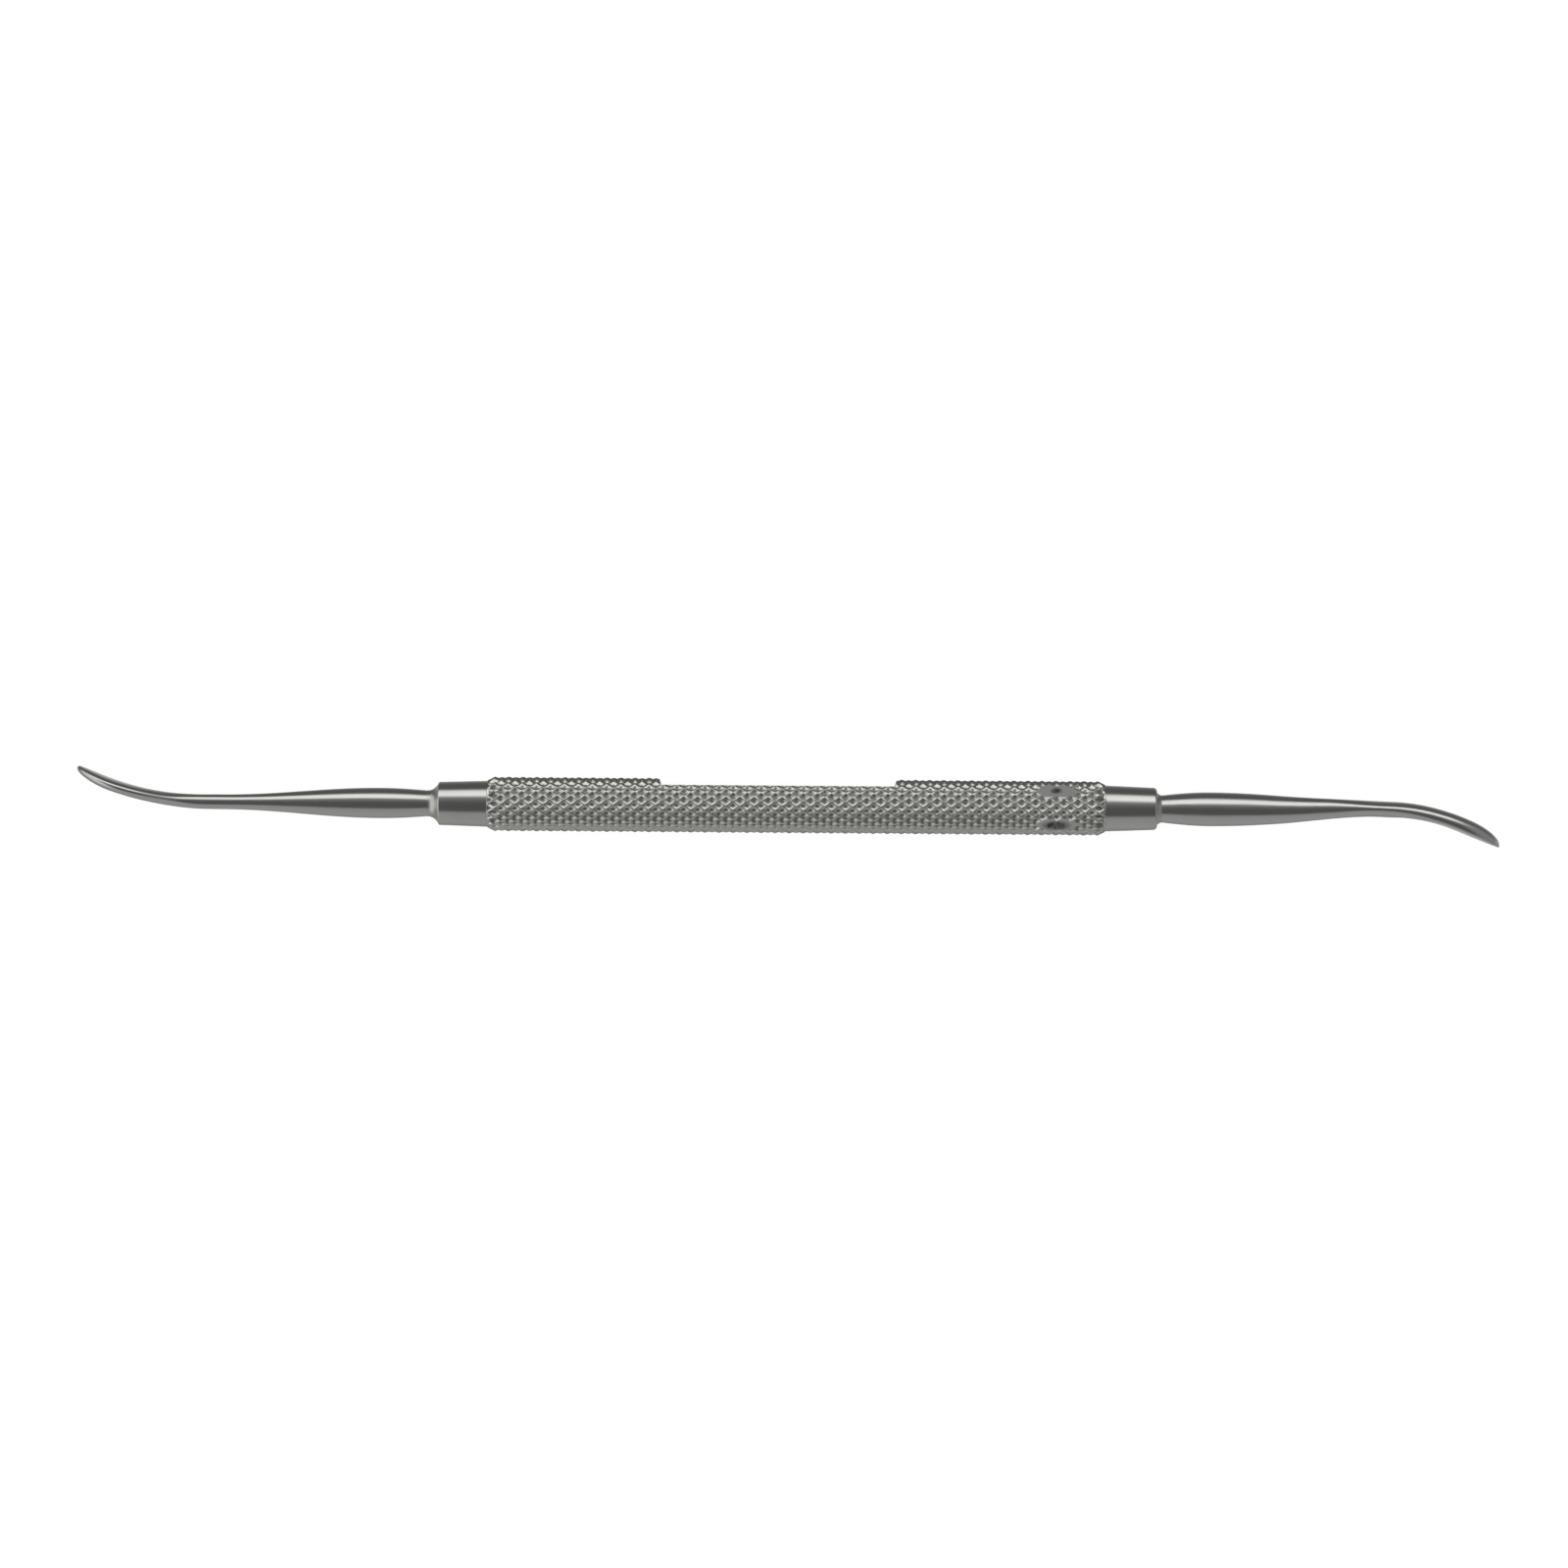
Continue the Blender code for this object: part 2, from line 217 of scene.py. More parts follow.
def etchMarkingSteel(name, middle, turn, size):
    # A smooth ground flat with a plain electro-etched patch: the etch leaves a matt, dark grey oxide that
    # fades out at its rim and is streaked where it was wiped.
    metal, tree, shader = newMetal(name, "#c4c4c0", 0.40)
    place = add(tree, "ShaderNodeTexCoord").outputs["Object"]
    spot = {"vector_type": "TEXTURE", "Location": middle, "Rotation": (turn, 0, 0),
            "Scale": (size[0] / 2, size[1] / 2, mm)}
    centred = add(tree, "ShaderNodeMapping", spot, Vector=place)
    flat = add(tree, "ShaderNodeVectorMath", {"operation": "MULTIPLY", 1: (1, 1, 0)}, i0=centred.outputs[0])
    away = add(tree, "ShaderNodeVectorMath", {"operation": "LENGTH"}, i0=flat.outputs[0])
    patch = between(tree, away.outputs["Value"], 1.0, 0.0, 0.55, 1.15)
    # streaks of 0.15 mm, in clouds of 0.6 mm
    streaks = grain(tree, place, (0.15 * mm, 0.9 * mm, 0.9 * mm), 2.0)
    clouds = grain(tree, place, (0.6 * mm, 0.6 * mm, 0.6 * mm), 1.0)
    uneven = add(tree, "ShaderNodeMath", {"operation": "ADD"},
                 i0=streaks.outputs["Fac"], i1=clouds.outputs["Fac"])
    taken = between(tree, uneven.outputs[0], 0.55, 1.0, 0.70, 1.20)
    etched = add(tree, "ShaderNodeMath", {"operation": "MULTIPLY"}, i0=patch, i1=taken).outputs[0]
    colours = add(tree, "ShaderNodeMix", {"data_type": "RGBA"}, Factor=etched)
    colours.inputs[6].default_value = linear("#c4c4c0")
    colours.inputs[7].default_value = linear("#4a4a4c")
    tree.links.new(colours.outputs[2], shader.inputs["Base Color"])
    rough = between(tree, etched, 0.38, 0.55, 0.0, 1.0)
    tree.links.new(rough, shader.inputs["Roughness"])
    return metal


def turnSatinSteel():
    # Turned stainless steel, polished to a satin on the lathe: hair lines run round the ferrule.
    metal, tree, shader = newMetal("turnedSatinSteel", "#cbcbc7", 0.17)
    place = add(tree, "ShaderNodeTexCoord").outputs["Object"]
    # the polishing grit leaves lines 0.02 mm apart, drawn at 0.07 mm so that they show
    rings = grain(tree, place, (0.07 * mm, 5 * mm, 5 * mm), 3.0)
    clouds = grain(tree, place, (2.4 * mm, 1.6 * mm, 1.6 * mm))
    rough = between(tree, rings.outputs["Fac"], 0.13, 0.21)
    tree.links.new(rough, shader.inputs["Roughness"])
    tone = add(tree, "ShaderNodeMix", {"data_type": "RGBA"}, Factor=clouds.outputs["Fac"])
    tone.inputs[6].default_value = linear("#c4c4c0")
    tone.inputs[7].default_value = linear("#d2d2cf")
    tree.links.new(tone.outputs[2], shader.inputs["Base Color"])
    bump = add(tree, "ShaderNodeBump", {"Strength": 0.25, "Distance": 0.002 * mm},
               Height=rings.outputs["Fac"])
    tree.links.new(bump.outputs[0], shader.inputs["Normal"])
    return metal


def grindBladeSteel(name, tipMarks):
    # Forged stainless steel, ground and polished lengthwise: soft lines follow the shank round its bend.
    metal, tree, shader = newMetal(name, "#cdcdca", 0.16)
    place = add(tree, "ShaderNodeAttribute", {"attribute_name": "straightPlace"}).outputs["Vector"]
    # belt lines 0.03 mm apart, drawn at 0.08 mm so that they show
    lines = grain(tree, place, (7 * mm, 0.08 * mm, 0.08 * mm), 2.0)
    rough = between(tree, lines.outputs["Fac"], 0.12, 0.22)
    tree.links.new(rough, shader.inputs["Roughness"])
    height = lines.outputs["Fac"]
    depth = 0.002 * mm
    if tipMarks:
        # the back of the blade near the tip was touched up across its length on a wheel
        crossing = add(tree, "ShaderNodeMapping", {"Rotation": (0, 0, math.radians(38))}, Vector=place)
        strokes = grain(tree, crossing.outputs[0], (0.16 * mm, 2.5 * mm, 2.5 * mm), 2.0)
        along = add(tree, "ShaderNodeSeparateXYZ", None, Vector=place)
        nearTip = between(tree, along.outputs["X"], 0.0, 1.0, tipMarks[0], tipMarks[1])
        under = between(tree, along.outputs["Y"], 1.0, 0.0, -0.25 * mm, 0.05 * mm)
        share = add(tree, "ShaderNodeMath", {"operation": "MULTIPLY"}, i0=nearTip, i1=under)
        blend = add(tree, "ShaderNodeMix", {"data_type": "FLOAT"}, Factor=share.outputs[0])
        tree.links.new(lines.outputs["Fac"], blend.inputs[2])
        tree.links.new(strokes.outputs["Fac"], blend.inputs[3])
        height = blend.outputs[0]
        depth = 0.010 * mm
    bump = add(tree, "ShaderNodeBump", {"Strength": 0.5, "Distance": depth}, Height=height)
    tree.links.new(bump.outputs[0], shader.inputs["Normal"])
    return metal


def flowBrazeAlloy():
    # Silver braze that has run round the neck and been wiped smooth: a little warmer and softer than steel.
    metal, tree, shader = newMetal("flowedSilverBraze", "#c8c7c2", 0.22)
    place = add(tree, "ShaderNodeTexCoord").outputs["Object"]
    ripples = grain(tree, place, (0.25 * mm,) * 3, 2.0)
    rough = between(tree, ripples.outputs["Fac"], 0.18, 0.32)
    tree.links.new(rough, shader.inputs["Roughness"])
    bump = add(tree, "ShaderNodeBump", {"Strength": 0.4, "Distance": 0.02 * mm},
               Height=ripples.outputs["Fac"])
    tree.links.new(bump.outputs[0], shader.inputs["Normal"])
    return metal


# Knurled handle

handle = {
    "columns": 36,              # two to each of the 18 crossings round the handle
    "rows": 88,                 # half pitches along the handle
    "endRadius": 2.85 * mm,     # the last half pitch at each end slopes down to this
    "boreRadius": 2.0 * mm,
    "ridgeSag": 0.12 * mm,      # how far a ridge dips between two crossings
    "ridgeHalfWidth": 0.045 * mm,
    "wall": (0.22 * mm, 0.30 * mm),     # width and depth of a pit's steep wall
    "floor": (0.09 * mm, 0.03 * mm),    # and of the slope at its bottom
    "flatSpare": -0.25 * mm,    # pits are made this far in under the marking flats' edges
    "smoothAngle": 60,
}
milledFlat = {"length": 28.9 * mm, "depth": 0.8 * mm, "ramp": 0.5 * mm, "shift": -2.2 * mm}
markingFlat = {
    "length": 5.15 * mm,
    "depth": 0.17 * mm,
    "inset": 5.7 * mm,          # from the handle's right end
    "turn": math.radians(42),   # either side of straight up
    "etched": {"upper": (1.5 * mm, 1.1 * mm), "lower": (3.4 * mm, 1.5 * mm)},
    "etchShift": {"upper": (-0.2 * mm, 0.1 * mm), "lower": (-0.2 * mm, 0.0)},
}
markingFlatX = tubeHigh.x - markingFlat["inset"]


def roundAngle(place):
    # angle about the handle's axis, from straight up towards +Y
    return math.atan2(place.y, place.z - axisHeight)


def underMarkingFlat(place, spare):
    halfTurn = math.acos(1 - markingFlat["depth"] / crestRadius) + spare / crestRadius
    nearX = abs(place.x - markingFlatX) < markingFlat["length"] / 2 + spare
    return nearX and abs(abs(roundAngle(place)) - markingFlat["turn"]) < halfTurn


def cutFlat(piece, name, middle, size, ramp, turn, metal):
    # cuts with a block whose floor is a flat at middle; its ends slope in by the ramp
    takeUp(None)
    bpy.ops.mesh.primitive_cube_add(size=1.0)
    cutter = begin(name)
    bpy.ops.mesh.select_all(action="SELECT")
    bpy.ops.transform.resize(value=size)
    bpy.ops.transform.translate(value=(0, 0, size[2] / 2))
    pick(cutter, "FACE", lambda face: face.normal.z < -0.5)
    if ramp:
        bpy.ops.transform.resize(value=((size[0] - 2 * ramp) / size[0], 1, 1), center_override=(0, 0, 0))
    bpy.ops.object.mode_set(mode="OBJECT")
    cutter.location = middle
    cutter.rotation_euler.x = -turn
    bpy.ops.object.transform_apply(location=True, rotation=True, scale=True)
    cutter.data.materials.append(metal)
    takeUp(piece)
    boolean = piece.modifiers.new(name, "BOOLEAN")
    boolean.operation = "DIFFERENCE"
    boolean.solver = "EXACT"
    boolean.material_mode = "TRANSFER"
    boolean.object = cutter
    applyModifiers(piece)
    bpy.data.objects.remove(cutter, do_unlink=True)


def makeHandle(pitSteel, crestSteel, milledSteel, etched):
    handleLength = tubeHigh.x - tubeLow.x
    rowPitch = handleLength / handle["rows"]
    columnTurn = math.tau / handle["columns"]

    # rows and columns of a grid on the surface: crossings where their sum is even, pits where it is odd
    def gridPlace(place):
        return (place.x - tubeLow.x) / rowPitch, roundAngle(place) / columnTurn

    def isPit(vertex):
        row, column = gridPlace(vertex.co)
        return (round(row) + round(column)) % 2 == 1

    def onEndRow(vertex):
        return min(vertex.co.x - tubeLow.x, tubeHigh.x - vertex.co.x) < rowPitch / 4

    def scaleAcross(factor):
        bpy.ops.transform.resize(value=(1, factor, factor), center_override=(0, 0, axisHeight))

    takeUp(None)
    bpy.ops.mesh.primitive_cylinder_add(
        vertices=handle["columns"], radius=crestRadius, depth=handleLength, end_fill_type="NOTHING",
        location=((tubeLow.x + tubeHigh.x) / 2, 0, axisHeight), rotation=(0, math.pi / 2, 0))
    piece = begin("knurledHandle")      # its first column is at +Y, nine from the very top
    pick(piece, "EDGE", lambda edge: abs(edge.verts[0].co.x - edge.verts[1].co.x) > handleLength / 2)
    bpy.ops.mesh.subdivide(number_cuts=handle["rows"] - 1)

    # the ridges run from crossing to crossing: with the pits pulled in a little, the longest diagonal of
    # each square is a ridge
    pulledIn = 0.97
    pick(piece, "VERT", isPit)
    scaleAcross(pulledIn)
    bpy.ops.mesh.select_all(action="SELECT")
    bpy.ops.mesh.quads_convert_to_tris(quad_method="LONGEST_DIAGONAL")
    pick(piece, "VERT", lambda vertex: isPit(vertex) and not onEndRow(vertex))
    bpy.ops.mesh.dissolve_verts()
    pick(piece, "VERT", lambda vertex: isPit(vertex) and onEndRow(vertex))
    scaleAcross(1 / pulledIn)
    pick(piece, "EDGE", lambda edge: [onEndRow(v) for v in edge.verts].count(True) == 1
         and any(isPit(v) for v in edge.verts))
    bpy.ops.mesh.dissolve_edges(use_verts=False)
    pick(piece, "VERT", onEndRow)
    scaleAcross(handle["endRadius"] / crestRadius)

    # each pit: a narrow rim, a steep wall and a shallow floor
    pick(piece, "FACE", lambda face: not underMarkingFlat(face.calc_center_median(), handle["flatSpare"]))
    bpy.ops.mesh.inset(thickness=handle["ridgeHalfWidth"], depth=0, use_individual=True)
    bpy.ops.mesh.inset(thickness=handle["wall"][0], depth=-handle["wall"][1], use_individual=True)
    bpy.ops.mesh.select_all(action="INVERT")
    piece.data.materials.append(pitSteel)
    piece.data.materials.append(crestSteel)
    piece.active_material_index = 1
    bpy.ops.object.material_slot_assign()
    bpy.ops.mesh.select_all(action="INVERT")
    bpy.ops.mesh.inset(thickness=handle["floor"][0], depth=-handle["floor"][1], use_individual=True)

    # one cut across every rim, wall and floor gives each ridge a middle, which dips, and each pit a lowest
    # point
    def alongRidge(edge):
        first, second = (gridPlace(v.co) for v in edge.verts)
        rows = abs(first[0] - second[0])
        columns = abs(first[1] - second[1])
        columns = min(columns, handle["columns"] - columns)
        inRange = not underMarkingFlat((edge.verts[0].co + edge.verts[1].co) / 2, handle["flatSpare"])
        return rows > 0.1 and abs(rows - columns) < 0.3 * rows and inRange

    def onRidgeMiddle(vertex):
        row, column = gridPlace(vertex.co)
        offMiddle = max(abs(row % 1 - 0.5), abs(column % 1 - 0.5))
        shallow = math.hypot(vertex.co.y, vertex.co.z - axisHeight) > crestRadius - 0.03 * mm
        return offMiddle < 0.14 and shallow and not underMarkingFlat(vertex.co, 0)

    pick(piece, "EDGE", alongRidge)
    bpy.ops.mesh.subdivide(number_cuts=1)
    pick(piece, "VERT", onRidgeMiddle)
    scaleAcross(1 - handle["ridgeSag"] / crestRadius)

    # end faces and the bore
    pick(piece, "EDGE", lambda edge: edge.is_boundary)
    bpy.ops.mesh.extrude_region_move(TRANSFORM_OT_translate={"value": (0, 0, 0)})
    scaleAcross(handle["boreRadius"] / handle["endRadius"])
    pick(piece, "EDGE", lambda edge: edge.is_boundary)
    bpy.ops.mesh.bridge_edge_loops()
    closeUp(piece, handle["smoothAngle"])

    middleX = (tubeLow.x + tubeHigh.x) / 2 + milledFlat["shift"]
    floorRadius = crestRadius - milledFlat["depth"]
    block = (milledFlat["length"], 2 * crestRadius, 2 * milledFlat["depth"])
    cutFlat(piece, "milledFlat", (middleX, floorRadius, axisHeight), block, milledFlat["ramp"],
            math.pi / 2, milledSteel)
    floorRadius = crestRadius - markingFlat["depth"]
    block = (markingFlat["length"], crestRadius, 2 * markingFlat["depth"])
    for name, turn in (("upper", markingFlat["turn"]), ("lower", -markingFlat["turn"])):
        middle = (markingFlatX, floorRadius * math.sin(turn), axisHeight + floorRadius * math.cos(turn))
        cutFlat(piece, name + "MarkingFlat", middle, block, 0, turn, etched[name])
    takeUp(piece)
    bpy.ops.object.mode_set(mode="EDIT")
    bpy.ops.mesh.select_all(action="SELECT")
    bpy.ops.mesh.remove_doubles(threshold=0.002 * mm)
    bpy.ops.mesh.dissolve_degenerate(threshold=0.001 * mm)
    bpy.ops.mesh.select_all(action="SELECT")
    bpy.ops.mesh.delete_loose(use_verts=True, use_edges=True, use_faces=False)
    pick(piece, "EDGE", lambda edge: edge.is_boundary)
    bpy.ops.mesh.fill_holes(sides=0)
    pick(piece, "FACE", lambda face: face.material_index > 1)
    bpy.ops.mesh.region_to_loop()
    bpy.ops.mesh.mark_sharp()
    closeUp(piece, handle["smoothAngle"])
    handOver(piece, "handle_tube")
    return piece


# Ferrules and braze

ferrule = {
    "sides": 96,
    "bigRadius": 2.74 * mm,
    "boreSpare": 0.02 * mm,
    "spigotRadius": 1.95 * mm,
    "spigotLength": 8.0 * mm,
    "spigotChamfer": 0.3 * mm,
    "backEdge": 0.06 * mm,
    "left": {"taper": 0.16 * mm, "corner": 0.22 * mm},
    "right": {"taper": 0.22 * mm, "corner": 0.40 * mm},
}
neck = {"left": 1.55 * mm, "right": 1.625 * mm, "tangStep": 0.45 * mm}
braze = {
    "left": {"length": 1.35 * mm, "height": 0.80 * mm, "power": 2.4},
    "right": {"length": 0.60 * mm, "height": 0.34 * mm, "power": 1.7},
}


def arcPoints(centreX, centreRadius, size, start, stop, steps):
    # points (x, radius) on an arc, the angles measured from +X
    angles = [math.radians(start + (stop - start) * i / steps) for i in range(steps + 1)]
    return [(centreX + size * math.cos(a), centreRadius + size * math.sin(a)) for a in angles]


def turnRing(name, profile, smoothAngle):
    # extrudes a circle through a closed profile of (x, radius) and welds its end to its start
    takeUp(None)
    bpy.ops.mesh.primitive_circle_add(vertices=ferrule["sides"], radius=profile[0][1],
                                      location=(profile[0][0], 0, 0), rotation=(0, math.pi / 2, 0))
    piece = begin(name)
    bpy.ops.mesh.select_all(action="SELECT")
    for (lastX, lastRadius), (x, radius) in zip(profile, profile[1:] + profile[:1]):
        bpy.ops.mesh.extrude_region_move(TRANSFORM_OT_translate={"value": (x - lastX, 0, 0)})
        factor = radius / lastRadius
        bpy.ops.transform.resize(value=(1, factor, factor), center_override=(0, 0, 0))
    closeUp(piece, smoothAngle)
    return piece


def makeFerrule(side, steel):
    front = ferruleFront[side]
    shape = ferrule[side]
    big = ferrule["bigRadius"]
    small = big - shape["taper"]
    bore = neck[side] - neck["tangStep"] + ferrule["boreSpare"]
    spigot = ferrule["spigotRadius"]
    chamfer = ferrule["spigotChamfer"]
    back = ferrule["backEdge"]
    corner = shape["corner"]
    profile = [(front, bore)]
    profile += arcPoints(front - corner, small - corner, corner, 0, 88, 10)
    profile += arcPoints(back, big - back, back, 92, 180, 4)
    profile += [(0, spigot), (chamfer - ferrule["spigotLength"], spigot),
                (-ferrule["spigotLength"], spigot - chamfer), (-ferrule["spigotLength"], bore)]
    piece = turnRing(side + "Ferrule", profile, 40)
    piece.data.materials.append(steel)
    moveToSide(piece, side)
    handOver(piece, side + "_ferrule")


def makeBraze(side, alloy):
    # a hollow fillet: long and deep on the left, short and shallow on the right
    front = ferruleFront[side]
    shape = braze[side]
    bore = neck[side] - neck["tangStep"] + ferrule["boreSpare"]
    profile = [(front, bore)]
    steps = 14
    for i in range(steps + 1):
        share = i / steps
        radius = neck[side] + shape["height"] * (1 - share) ** shape["power"]
        profile.append((front + shape["length"] * share, radius))
    profile.append((front + shape["length"], bore))
    piece = turnRing(side + "BrazeRing", profile, 50)
    piece.data.materials.append(alloy)
    moveToSide(piece, side)
    handOver(piece, side + "_braze_ring")


# Blades

blade = {
    "sides": 64,
    "tangDepth": 12.0 * mm,     # inwards from the ferrule's front
    "ringSpacing": 0.8 * mm,
    "tipRings": 26,
    "edgeDepth": 2.0,           # depth of a blade's two rounded edges together, in thicknesses
    "tipRound": 0.30 * mm,      # the very end is rounded over this far
    "tipEdge": 0.08,            # and down to this share of its thickness, squared
    "left": {
        "bulgeRadius": 1.815 * mm, "bulgeAt": 6.9 * mm,
        "waist": 1.78 * mm, "waistAt": 25.6 * mm,
        "bendFrom": 27.6 * mm, "bendRadius": 35.0 * mm, "bendAngle": math.radians(23),
        "bladeFrom": 28.5 * mm, "width": 6.4 * mm, "thickness": 1.34 * mm,
        "rounding": 6.0 * mm, "nose": 5.0 * mm, "tipThickness": 0.50 * mm,
        "rise": 0.0, "riseFrom": 0.0, "riseTo": 1 * mm,
        "faceShare": 0.0, "faceFrom": 0.0, "faceTo": 1 * mm,
    },
    "right": {
        "bulgeRadius": 2.02 * mm, "bulgeAt": 6.3 * mm,
        "waist": 1.80 * mm, "waistAt": 28.5 * mm,
        "bendFrom": 28.3 * mm, "bendRadius": 21.5 * mm, "bendAngle": math.radians(22.5),
        "bladeFrom": 20.5 * mm, "width": 6.4 * mm, "thickness": 1.62 * mm,
        "rounding": 7.2 * mm, "nose": 4.5 * mm, "tipThickness": 0.20 * mm,
        "rise": 0.22 * mm, "riseFrom": 14 * mm, "riseTo": 35 * mm,
        "faceShare": 0.45, "faceFrom": 24.5 * mm, "faceTo": 39 * mm,     # ground away to leave a flat face
    },
}


def ease(start, stop, share):
    share = min(max(share, 0.0), 1.0)
    return start + (stop - start) * (1 - math.cos(math.pi * share)) / 2


def makeBlade(side, steel):
    shape = blade[side]
    front = ferruleFront[side]
    neckRadius = neck[side]
    bend = shape["bendRadius"] * shape["bendAngle"]
    # the straight past the bend reaches exactly as far as the CAD does
    noseDrop = (shape["thickness"] / 2 - shape["tipThickness"]) * math.sin(shape["bendAngle"])
    sideways = shape["bendRadius"] * math.sin(shape["bendAngle"])
    past = (tipReach[side] - front - shape["bendFrom"] - sideways + noseDrop) / math.cos(shape["bendAngle"])
    length = shape["bendFrom"] + bend + past
    shoulder = braze[side]["length"]
    noseFrom = length - shape["nose"]
    widestAt = length - shape["rounding"]

    def thicknessAt(s):
        if s <= shape["bulgeAt"]:
            share = max(s - shoulder, 0) / (shape["bulgeAt"] - shoulder)
            return 2 * (neckRadius + (shape["bulgeRadius"] - neckRadius) * math.sin(math.pi / 2 * share))
        if s <= shape["waistAt"]:
            share = (s - shape["bulgeAt"]) / (shape["waistAt"] - shape["bulgeAt"])
            return ease(2 * shape["bulgeRadius"], shape["waist"], share)
        share = (s - shape["waistAt"]) / (noseFrom - shape["waistAt"])
        thickness = ease(shape["waist"], shape["thickness"], share)
        if s > noseFrom:
            blunt = 1 - (shape["tipThickness"] / shape["thickness"]) ** 2
            thickness *= math.sqrt(1 - blunt * ((s - noseFrom) / shape["nose"]) ** 2)
        return thickness

    def widthAt(s):
        if s <= shape["bladeFrom"]:
            return thicknessAt(s)
        share = (s - shape["bladeFrom"]) / (widestAt - shape["bladeFrom"])
        width = ease(thicknessAt(shape["bladeFrom"]), shape["width"], share)
        if s > widestAt:
            width *= math.sqrt(max(1 - ((s - widestAt) / shape["rounding"]) ** 2, 0))
        return width

    def roundOver(s):
        # thins the last rings, so that the tip ends in a rounded edge
        share = max(s - (length - blade["tipRound"]), 0) / blade["tipRound"]
        return math.sqrt(max(1 - (1 - blade["tipEdge"]) * share ** 2, blade["tipEdge"]))

    def centreAt(s):
        # the rise lifts the middle towards the back, and the nose brings the tip down onto the face
        share = (s - shape["riseFrom"]) / (shape["riseTo"] - shape["riseFrom"])
        rise = shape["rise"] * math.sin(math.pi * share) ** 2 if 0 < share < 1 else 0.0
        drop = (shape["thickness"] - thicknessAt(s)) / 2 if s > noseFrom else 0.0
        return rise - drop

    tang = 2 * (neckRadius - neck["tangStep"])
    rings = [(-blade["tangDepth"], tang, tang, 0.0), (shoulder, tang, tang, 0.0)]
    count = math.ceil((widestAt - shoulder) / blade["ringSpacing"])
    places = [shoulder + (widestAt - shoulder) * i / count for i in range(count)]
    for i in range(blade["tipRings"]):
        tipTurn = math.radians(88) * i / (blade["tipRings"] - 1)
        places.append(widestAt + shape["rounding"] * math.sin(tipTurn))
    spreads = []                # how far the two rounded edges move apart, to leave a flat between them
    for s in places:
        thick = thicknessAt(s)
        wide = widthAt(s)
        edges = min(wide, max(blade["edgeDepth"] * thick, thick))
        ground = (s - shape["faceFrom"]) / (shape["faceTo"] - shape["faceFrom"])
        extra = thick * ease(0, shape["faceShare"], ground)
        rings.append((s, (thick + extra) * roundOver(s), edges, centreAt(s) - extra / 2))
        spreads.append((s, (wide - edges) / 2))

    takeUp(None)
    bpy.ops.mesh.primitive_circle_add(vertices=blade["sides"], radius=tang / 2, fill_type="NGON",
                                      location=(rings[0][0], 0, 0), rotation=(0, math.pi / 2, 0))
    piece = begin(side + "Blade")
    bpy.ops.mesh.select_all(action="SELECT")
    for (s0, thick0, wide0, mid0), (s1, thick1, wide1, mid1) in zip(rings, rings[1:]):
        bpy.ops.mesh.extrude_region_move(TRANSFORM_OT_translate={"value": (s1 - s0, mid1 - mid0, 0)})
        bpy.ops.transform.resize(value=(1, thick1 / thick0, wide1 / wide0), center_override=(s1, mid1, 0))
    for s, spread in spreads:
        if spread > 0:
            for edgeSide in (-1, 1):
                pick(piece, "VERT",
                     lambda v: abs(v.co.x - s) < 0.001 * mm and edgeSide * v.co.z > 0.001 * mm)
                bpy.ops.transform.translate(value=(0, 0, edgeSide * spread))
    if shape["faceShare"]:
        faceAt = -shape["thickness"] / 2
        pick(piece, "VERT", lambda v: v.co.x > shape["faceFrom"] and v.co.y < faceAt)
        bpy.ops.transform.resize(value=(1, 0, 1), center_override=(0, faceAt, 0))
    bpy.ops.mesh.select_mode(type="VERT")
    closeUp(piece, 35)

    # remembers where each point was on the straight blade, so that the grinding lines follow the bend
    straight = piece.data.attributes.new("straightPlace", "FLOAT_VECTOR", "POINT")
    for point, vertex in zip(straight.data, piece.data.vertices):
        point.vector = vertex.co

    # bends it along a curve: straight, an arc and straight again
    takeUp(None)
    bpy.ops.curve.primitive_bezier_curve_add()
    path = bpy.context.object
    path.data.resolution_u = 64
    bpy.ops.object.mode_set(mode="EDIT")
    bpy.ops.curve.select_all(action="SELECT")
    bpy.ops.curve.subdivide(number_cuts=2)
    bpy.ops.object.mode_set(mode="OBJECT")
    turn = shape["bendAngle"]
    along = Vector((math.cos(turn), -math.sin(turn), 0))
    bendStart = Vector((shape["bendFrom"], 0, 0))
    bendStop = bendStart + Vector((sideways, -shape["bendRadius"] * (1 - math.cos(turn)), 0))
    lever = 4 / 3 * math.tan(turn / 4) * shape["bendRadius"]
    straightIn = Vector((1, 0, 0))
    knots = [
        (Vector((0, 0, 0)), straightIn, lever, lever),
        (bendStart, straightIn, lever, lever),
        (bendStop, along, lever, past / 3),
        (bendStop + along * past, along, past / 3, past / 3),
    ]
    for knot, (place, direction, before, after) in zip(path.data.splines[0].bezier_points, knots):
        knot.handle_left_type = knot.handle_right_type = "FREE"
        knot.co = place
        knot.handle_left = place - direction * before
        knot.handle_right = place + direction * after
    bender = piece.modifiers.new("bend", "CURVE")
    bender.object = path
    bender.deform_axis = "POS_X"
    applyModifiers(piece)
    bpy.data.objects.remove(path, do_unlink=True)

    # it is made from the ferrule's front, so it moves out by the ferrule's length
    piece.location.x = front
    takeUp(piece)
    bpy.ops.object.transform_apply(location=True, rotation=True, scale=True)
    piece.data.materials.append(steel)
    moveToSide(piece, side)
    handOver(piece, side + "_working_end")


# Make the instrument

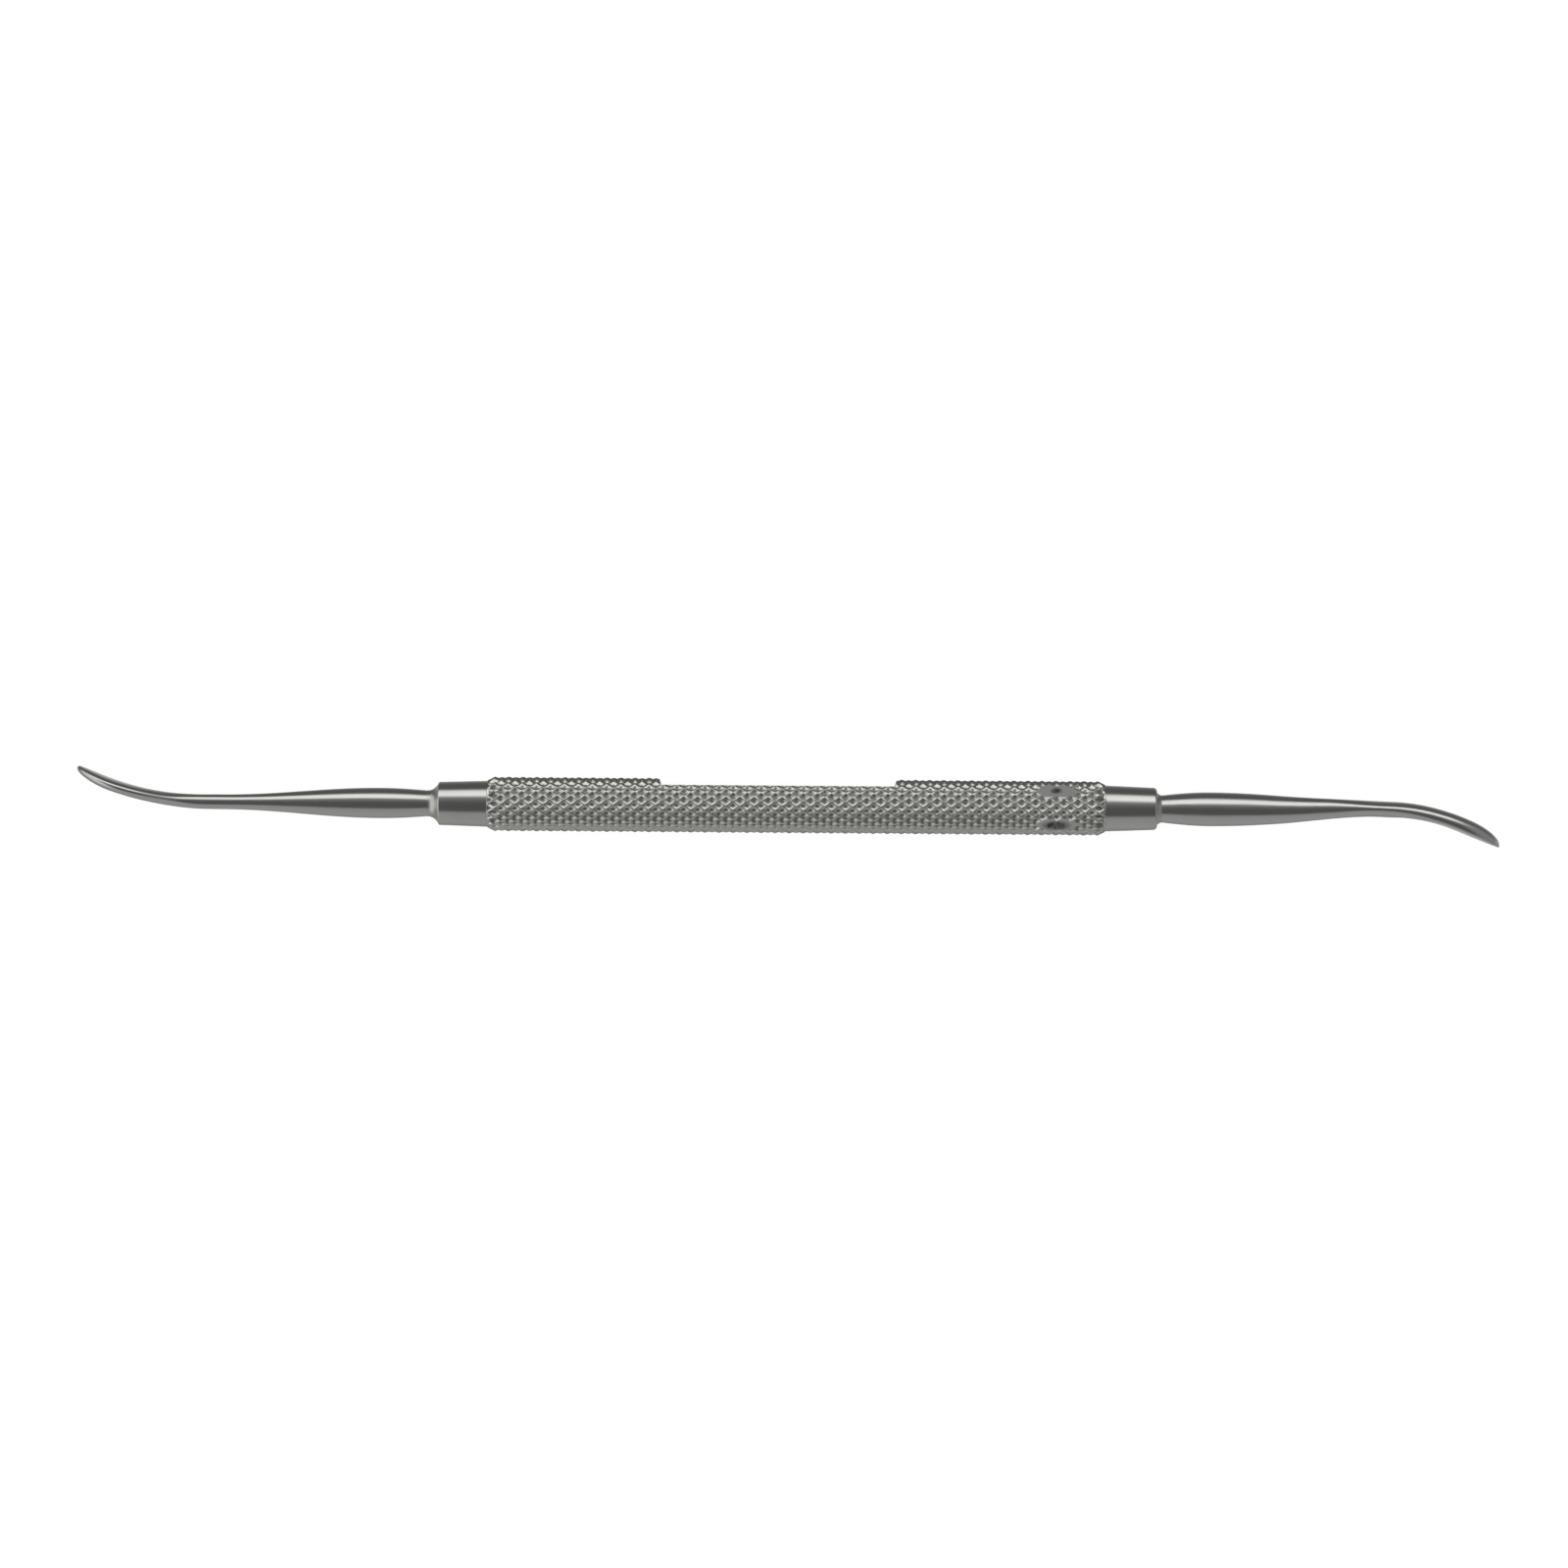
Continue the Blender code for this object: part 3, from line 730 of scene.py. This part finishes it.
steels = {
    "pit": rollPitSteel(),
    "crest": rubCrestSteel(),
    "milled": millFlatSteel(),
    "satin": turnSatinSteel(),
    "braze": flowBrazeAlloy(),
    "left": grindBladeSteel("polishedBladeSteel", None),
    "right": grindBladeSteel("groundBladeSteel", (27 * mm, 34 * mm)),
}
etched = {}
for label, sideways in (("upper", 1), ("lower", -1)):
    turnedBy = sideways * markingFlat["turn"]
    floorAt = crestRadius - markingFlat["depth"]
    middleOfFlat = (markingFlatX + markingFlat["etchShift"][label][0], floorAt * math.sin(turnedBy),
                    axisHeight + floorAt * math.cos(turnedBy))
    patchSize = markingFlat["etched"][label]
    etched[label] = etchMarkingSteel(label + "EtchedSteel", middleOfFlat, -turnedBy, patchSize)
print("materials ready")

makeHandle(steels["pit"], steels["crest"], steels["milled"], etched)
print("handle ready")
for side in ("left", "right"):
    makeFerrule(side, steels["satin"])
    makeBraze(side, steels["braze"])
    makeBlade(side, steels[side])
    print(side, "end ready")


# Studio: a white table, a long softbox low on the +Y side, a grey card on the -Y side, dark overhead

studio = {
    "floorHalf": 3.0,
    "lens": 120,
    "viewWidth": 187.3 * mm,    # across the picture, at the height of the handle's axis
    "viewOffset": (-0.47 * mm, 2.64 * mm),
    "viewRoll": math.radians(0.44),
    "topLight": 3.2,
    "endLevels": (0.85, 0.28),  # seen by the steel towards the handle's left and right ends
    "paperLevel": 0.12,         # lights the paper from all round, so that there is a faint contact shadow
    "paperWhite": 0.98,
}
# brightness seen by the steel, by angle in degrees round the handle's axis, from straight up towards +Y
surroundings = [
    (-180, 0.50), (-150, 0.30), (-134, 0.34), (-115, 0.42), (-60, 0.38), (-50, 0.36), (-44, 0.26),
    (-36, 0.11), (-10, 0.11), (5, 0.12), (20, 0.19), (33, 0.30), (38, 0.80), (45, 1.30),
    (66, 1.15), (72, 0.80), (80, 0.17), (90, 0.11), (120, 0.13), (140, 0.22), (160, 0.40),
    (180, 0.50),
]


def makeWorld():
    world = bpy.data.worlds.new("studio")
    bpy.context.scene.world = world
    world.use_nodes = True
    tree = world.node_tree
    tree.nodes.clear()
    direction = add(tree, "ShaderNodeTexCoord").outputs["Generated"]
    parts = add(tree, "ShaderNodeSeparateXYZ", None, Vector=direction)
    angle = add(tree, "ShaderNodeMath", {"operation": "ARCTAN2"},
                i0=parts.outputs["Y"], i1=parts.outputs["Z"])
    share = between(tree, angle.outputs[0], 0.0, 1.0, -math.pi, math.pi)
    ramp = add(tree, "ShaderNodeValToRGB", None, Fac=share)
    elements = ramp.color_ramp.elements
    while len(elements) > 1:
        elements.remove(elements[-1])
    for i, (degrees, level) in enumerate(surroundings):
        place = (degrees + 180) / 360
        stop = elements[0] if i == 0 else elements.new(place)
        stop.position = place
        stop.color = (level, level, level, 1)
    # above the table everything fades to a grey towards either end of the handle
    endOn = add(tree, "ShaderNodeMath", {"operation": "ABSOLUTE"}, i0=parts.outputs["X"])
    fade = between(tree, endOn.outputs[0], 0.0, 1.0, 0.38, 0.70)
    above = between(tree, parts.outputs["Z"], 0.0, 1.0, -0.25, 0.15)
    share = add(tree, "ShaderNodeMath", {"operation": "MULTIPLY"}, i0=fade, i1=above)
    mixed = add(tree, "ShaderNodeMix", {"data_type": "RGBA"}, Factor=share.outputs[0])
    tree.links.new(ramp.outputs[0], mixed.inputs[6])
    endGrey = between(tree, parts.outputs["X"], *studio["endLevels"], -0.4, 0.4)
    tree.links.new(endGrey, mixed.inputs[7])
    room = add(tree, "ShaderNodeBackground", {"Strength": 1.0}, Color=mixed.outputs[2])
    paperGlow = add(tree, "ShaderNodeBackground", {"Color": (1, 1, 1, 1), "Strength": studio["paperLevel"]})
    backdrop = add(tree, "ShaderNodeBackground", {"Color": (1, 1, 1, 1), "Strength": studio["paperWhite"]})
    rays = add(tree, "ShaderNodeLightPath").outputs
    forPaper = add(tree, "ShaderNodeMixShader", None, Fac=rays["Is Diffuse Ray"])
    tree.links.new(room.outputs[0], forPaper.inputs[1])
    tree.links.new(paperGlow.outputs[0], forPaper.inputs[2])
    forCamera = add(tree, "ShaderNodeMixShader", None, Fac=rays["Is Camera Ray"])
    tree.links.new(forPaper.outputs[0], forCamera.inputs[1])
    tree.links.new(backdrop.outputs[0], forCamera.inputs[2])
    output = add(tree, "ShaderNodeOutputWorld")
    tree.links.new(forCamera.outputs[0], output.inputs["Surface"])


def makeStage():
    takeUp(None)
    bpy.ops.mesh.primitive_plane_add(size=2 * studio["floorHalf"], location=(0, 0, -0.02 * mm))
    floor = bpy.context.object
    floor.name = "tableTop"
    paper = bpy.data.materials.new("whitePaper")
    paper.use_nodes = True
    shader = paper.node_tree.nodes["Principled BSDF"]
    shader.inputs["Base Color"].default_value = linear("#f2f2f2")
    shader.inputs["Roughness"].default_value = 0.9
    shader.inputs["Specular IOR Level"].default_value = 0.1
    floor.data.materials.append(paper)
    floor.visible_glossy = False

    bpy.ops.object.light_add(type="SUN", location=(0, 0, 1))
    top = bpy.context.object
    top.name = "overheadLight"
    top.data.energy = studio["topLight"]
    top.data.angle = math.radians(60)
    top.data.use_shadow = False
    top.visible_glossy = False

    lens = bpy.data.cameras.new("camera")
    lens.lens = studio["lens"]
    lens.sensor_width = 36
    camera = bpy.data.objects.new("camera", lens)
    bpy.context.scene.collection.objects.link(camera)
    distance = studio["viewWidth"] * studio["lens"] / lens.sensor_width
    roll = studio["viewRoll"]
    right, up = studio["viewOffset"]
    camera.location = (right * math.cos(roll) - up * math.sin(roll),
                       right * math.sin(roll) + up * math.cos(roll), axisHeight + distance)
    camera.rotation_euler = (0, 0, roll)
    lens.clip_start = 0.01
    lens.clip_end = 20
    bpy.context.scene.camera = camera
    bpy.context.scene.view_settings.view_transform = "Standard"


makeWorld()
makeStage()
print("studio ready")
